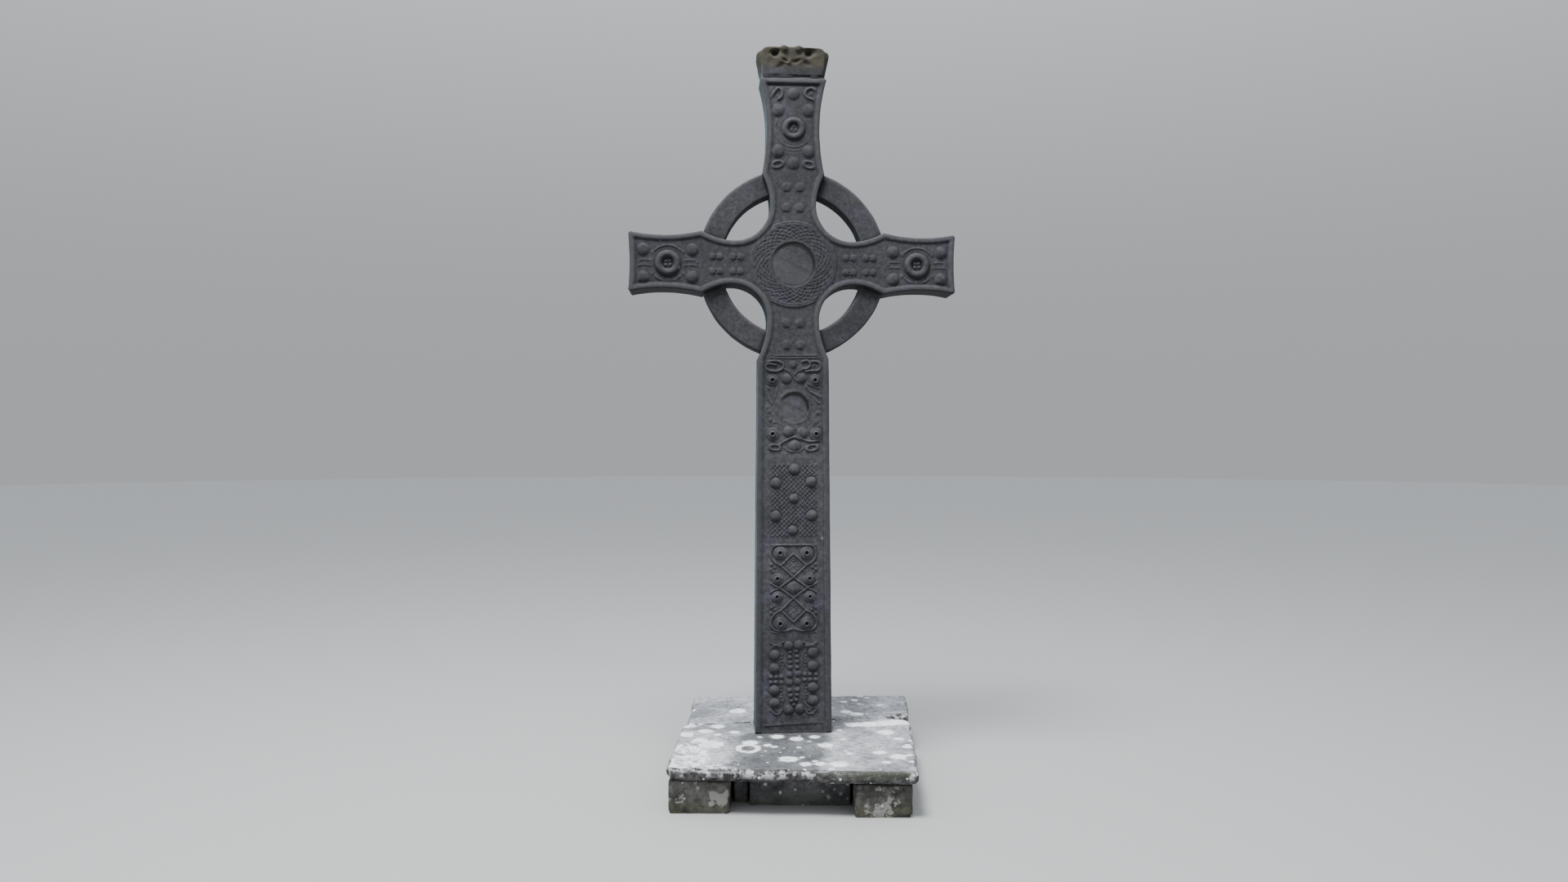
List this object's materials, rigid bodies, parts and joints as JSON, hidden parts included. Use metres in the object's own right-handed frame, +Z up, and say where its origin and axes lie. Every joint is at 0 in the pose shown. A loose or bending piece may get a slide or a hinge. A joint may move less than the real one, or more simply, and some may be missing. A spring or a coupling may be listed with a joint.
{
  "type": "ringed cross memorial",
  "caption": "Tall ringed stone cross with carved bosses and interlace, standing on a low box-shaped plinth of separate slabs.",
  "frame": {"origin": "on the ground, under the middle of the whole outline", "axes": "+Z up the cross, -Y out of the carved front face, +X to the right as the front is seen"},
  "size_m": [2.166, 1.9308, 4.8156],
  "materials": {
    "cross_stone": "dark blue-grey weathered stone, matt, softly worn carving",
    "cap_stone": "dark grey stone with an olive-brown film of algae, matt",
    "cover_stone": "pale grey rough slab with heavy white crusts of lichen",
    "block_stone": "rough grey-brown block with pale lichen patches",
    "side_stone": "dark damp slab with small pale lichen dots"
  },
  "bodies": {
    "root": {"cross": "cross_stone", "cap_stone": "cap_stone", "cover_slab_front": "cover_stone", "cover_slab_back": "cover_stone", "corner_block_front_left": "block_stone", "corner_block_front_right": "block_stone", "corner_block_back_left": "block_stone", "corner_block_back_right": "block_stone", "side_slab_front": "side_stone", "side_slab_left": "side_stone", "side_slab_right": "side_stone", "side_slab_back": "side_stone", "packing_stone_front": "side_stone"}
  },
  "joints": []
}
